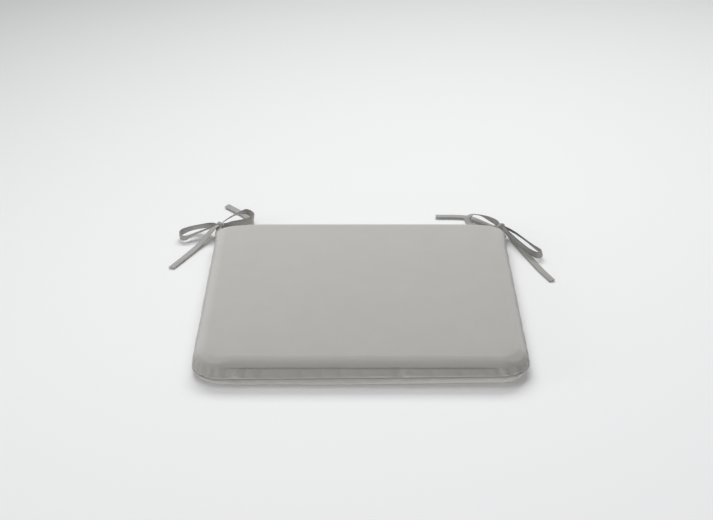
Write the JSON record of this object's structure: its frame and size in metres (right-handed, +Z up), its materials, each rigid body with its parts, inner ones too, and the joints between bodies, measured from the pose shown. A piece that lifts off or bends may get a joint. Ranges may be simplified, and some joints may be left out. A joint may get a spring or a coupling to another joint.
{
  "type": "chair seat pad",
  "caption": "Square foam seat pad in a zipped grey fabric cover, low side seam, with a bow-tied fabric ribbon at each back corner.",
  "frame": {"origin": "middle of the underside that rests on the seat, with the ties and the zip's slider left out", "axes": "+Z up through the pad's thickness, +Y to the back edge with the zip and the two tied corners, +X to the right as seen from the front"},
  "size_m": [0.5173, 0.523, 0.036],
  "materials": {
    "cover": "plain weave, matt, light warm grey",
    "ribbon": "folded and edge-stitched strip of the cover fabric",
    "thread": "sewing thread in the cover's grey",
    "foam": "open-cell polyurethane foam, matt cream",
    "wadding": "soft polyester wadding, matt white",
    "zip_tape": "woven polyester tape",
    "zip_coil": "polyester coil, satin",
    "zip_metal": "plated zinc, satin"
  },
  "bodies": {
    "pad": {"cover_bottom_panel": "cover", "cover_top_panel": "cover", "foam_core": "foam", "wadding_wrap": "wadding", "seam_stitching": "thread", "zip_tape_upper": "zip_tape", "zip_tape_lower": "zip_tape", "zip_coil_upper": "zip_coil", "zip_coil_lower": "zip_coil", "zip_stop_upper": "zip_metal", "zip_stop_lower": "zip_metal", "zip_stop_end": "zip_metal"},
    "zip_slider": {"zip_slider": "zip_metal"},
    "zip_puller": {"zip_puller": "zip_metal"},
    "tie_left": {"tie_left_root": "ribbon", "tie_left_knot": "ribbon", "tie_left_loop_outer": "ribbon", "tie_left_loop_inner": "ribbon", "tie_left_tail_front": "ribbon", "tie_left_tail_rear": "ribbon"},
    "tie_right": {"tie_right_root": "ribbon", "tie_right_knot": "ribbon", "tie_right_loop_outer": "ribbon", "tie_right_loop_inner": "ribbon", "tie_right_tail_front": "ribbon", "tie_right_tail_rear": "ribbon"}
  },
  "joints": [
    {"name": "zip_slider_slide", "type": "slide", "parent": "pad", "child": "zip_slider", "axis": [-1, 0, 0], "range_m": [0, 0.2848], "deforming": ["zip_coil_upper", "zip_coil_lower"]},
    {"name": "zip_puller_hinge", "type": "hinge", "parent": "zip_slider", "child": "zip_puller", "pos_m": [0.1424, 0.2008, 0.011], "axis": [0, 0, -1], "range_deg": [0, 180]},
    {"name": "tie_left_swing", "type": "hinge", "parent": "pad", "child": "tie_left", "pos_m": [-0.1931, 0.1931, 0.011], "axis": [0, 0, 1], "range_deg": [-20, 20], "deforming": ["tie_left_root"]},
    {"name": "tie_right_swing", "type": "hinge", "parent": "pad", "child": "tie_right", "pos_m": [0.1931, 0.1931, 0.011], "axis": [0, 0, 1], "range_deg": [-20, 20], "deforming": ["tie_right_root"]}
  ]
}
